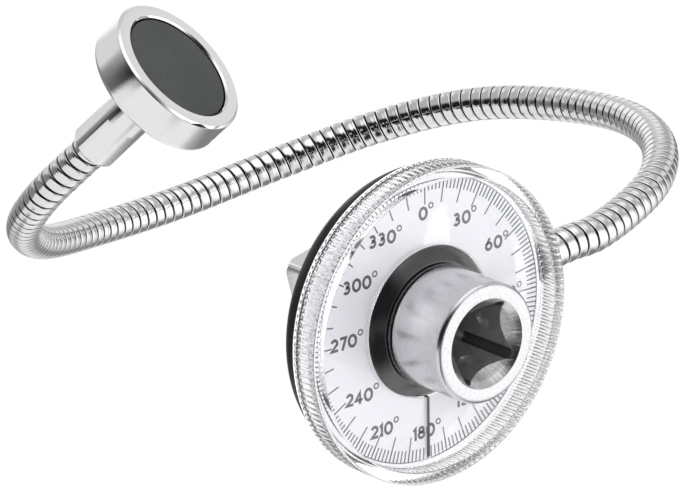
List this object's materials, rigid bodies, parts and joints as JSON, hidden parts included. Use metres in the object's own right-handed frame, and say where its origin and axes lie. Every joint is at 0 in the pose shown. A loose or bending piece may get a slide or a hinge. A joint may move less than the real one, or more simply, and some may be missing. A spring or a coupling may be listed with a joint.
{
  "type": "torque angle gauge",
  "caption": "Round degree dial on a square-drive spindle, with a clear knurled cover and pointer line, held still by a bending metal arm with a pot magnet.",
  "frame": {"origin": "centre of the male square's end face", "axes": "+Z along the spindle towards the female square, +X square to one flat of the male square, on the arm's side"},
  "size_m": [0.14, 0.0942, 0.1561],
  "materials": {
    "polished_chrome": "polished and satin chrome plate",
    "satin_steel": "bright wound steel",
    "spring_steel": "dull spring steel",
    "bronze": "sintered bronze",
    "black_plastic": "moulded black plastic",
    "black_rubber": "black rubber",
    "dial_print": "white printed aluminium sheet",
    "black_ink": "black inlay",
    "clear_plastic": "clear moulded plastic",
    "ferrite": "dull dark grey ferrite"
  },
  "bodies": {
    "spindle": {"drive_spindle": "polished_chrome", "friction_ring": "black_rubber", "slip_washer": "black_plastic", "thrust_washer": "satin_steel", "retaining_ring": "spring_steel", "detent_spring": "spring_steel"},
    "detent": {"detent_ball": "polished_chrome"},
    "dial_housing": {"back_housing": "black_plastic", "dial_face": "dial_print", "bearing_bush": "bronze", "arm_plug": "satin_steel", "arm_set_screw": "spring_steel", "hose_1": "satin_steel", "inner_coil_1": "spring_steel"},
    "cover": {"clear_cover": "clear_plastic", "cover_hub": "black_plastic", "pointer_line": "black_ink"},
    "arm_2": {"hose_2": "satin_steel", "inner_coil_2": "spring_steel"},
    "arm_3": {"hose_3": "satin_steel", "inner_coil_3": "spring_steel"},
    "arm_4": {"hose_4": "satin_steel", "inner_coil_4": "spring_steel"},
    "arm_5": {"hose_5": "satin_steel", "inner_coil_5": "spring_steel"},
    "arm_6": {"hose_6": "satin_steel", "inner_coil_6": "spring_steel", "magnet_ferrule": "polished_chrome", "magnet_cup": "polished_chrome", "magnet_disc": "ferrite", "head_screw": "spring_steel"}
  },
  "joints": [
    {"name": "dial_turn", "type": "hinge", "parent": "spindle", "child": "dial_housing", "pos_m": [0, 0, 0.031], "axis": [0, 0, 1], "continuous": true},
    {"name": "pointer_turn", "type": "hinge", "parent": "spindle", "child": "cover", "pos_m": [0, 0, 0.037], "axis": [0, 0, 1], "continuous": true},
    {"name": "detent_press", "type": "slide", "parent": "spindle", "child": "detent", "axis": [0, 1, 0], "range_m": [0, 0.0009], "stiffness_N_per_m": 400, "springref_m": -0.003, "deforming": ["detent_spring"]},
    {"name": "arm_bend_1", "type": "hinge", "parent": "dial_housing", "child": "arm_2", "pos_m": [0.08746, -0.01098, 0.01269], "axis": [-0.0478, 0.9837, -0.1733], "range_deg": [-12, 12]},
    {"name": "arm_bend_2", "type": "hinge", "parent": "arm_2", "child": "arm_3", "pos_m": [0.10233, -0.0182, -0.03815], "axis": [-0.9834, 0.1584, 0.088], "range_deg": [-12, 12]},
    {"name": "arm_bend_3", "type": "hinge", "parent": "arm_3", "child": "arm_4", "pos_m": [0.07421, -0.02571, -0.08579], "axis": [0.0024, 0.976, -0.2179], "range_deg": [-12, 12]},
    {"name": "arm_bend_4", "type": "hinge", "parent": "arm_4", "child": "arm_5", "pos_m": [0.02176, -0.02295, -0.09673], "axis": [0.2478, 0.4876, 0.8372], "range_deg": [-12, 12]},
    {"name": "arm_bend_5", "type": "hinge", "parent": "arm_5", "child": "arm_6", "pos_m": [-0.02239, 0.00152, -0.07196], "axis": [0.1071, 0.7617, -0.639], "range_deg": [-12, 12]}
  ]
}
